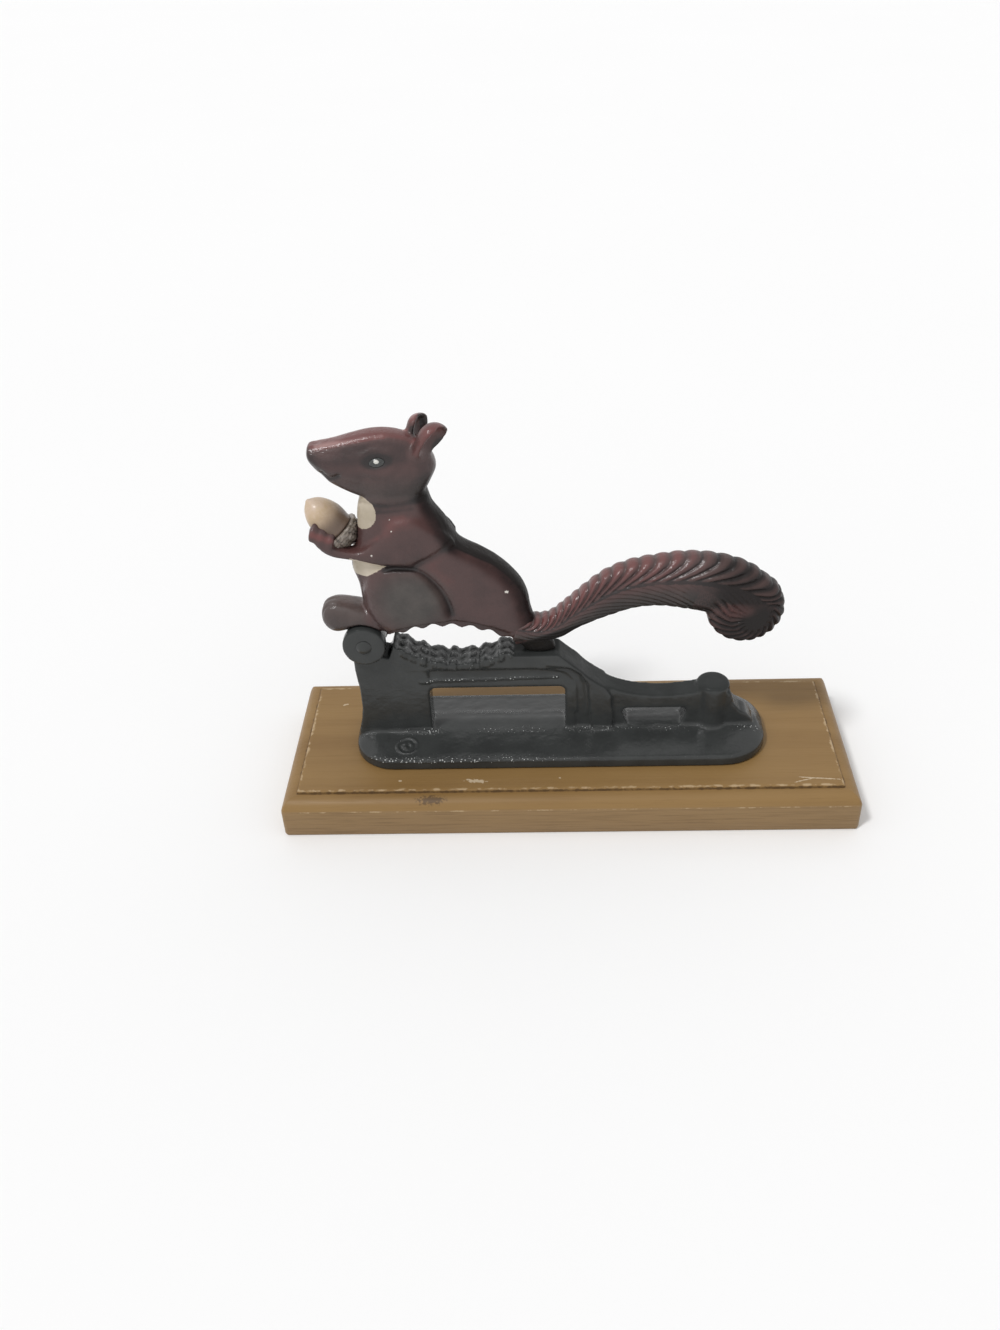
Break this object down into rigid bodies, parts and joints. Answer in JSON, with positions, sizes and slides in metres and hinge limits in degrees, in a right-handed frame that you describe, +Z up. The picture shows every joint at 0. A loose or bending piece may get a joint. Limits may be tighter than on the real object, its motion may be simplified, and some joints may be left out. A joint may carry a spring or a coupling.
{
  "type": "lever nutcracker press",
  "caption": "Lever nutcracker: a cast squirrel, hinged at its feet on a cast stand, closes toothed jaws under its belly when its long tail is pressed down; stands on a moulded wooden board.",
  "frame": {"origin": "middle of the board's underside", "axes": "+X along the board from the hinge end to the tail end, +Y away from the near side, +Z up"},
  "size_m": [0.254, 0.089, 0.18],
  "materials": {
    "stained_wood": "satin stain with worn edges",
    "black_enamel": "gloss enamel over a fine sand-cast skin",
    "brown_enamel": "gloss enamel",
    "acorn_tan": "satin paint",
    "acorn_brown": "satin paint, rough",
    "pin_steel": "enamelled over",
    "screw_steel": "enamelled over"
  },
  "bodies": {
    "stand": {"wood_board": "stained_wood", "cast_stand": "black_enamel", "pivot_pin": "pin_steel", "stand_screws": "screw_steel"},
    "lever": {"squirrel_lever": "brown_enamel", "acorn_nut": "acorn_tan", "acorn_cap": "acorn_brown"}
  },
  "joints": [
    {"name": "lever_hinge", "type": "hinge", "parent": "stand", "child": "lever", "pos_m": [-0.087, 0, 0.078], "axis": [0, -1, 0], "range_deg": [0, 80]}
  ]
}
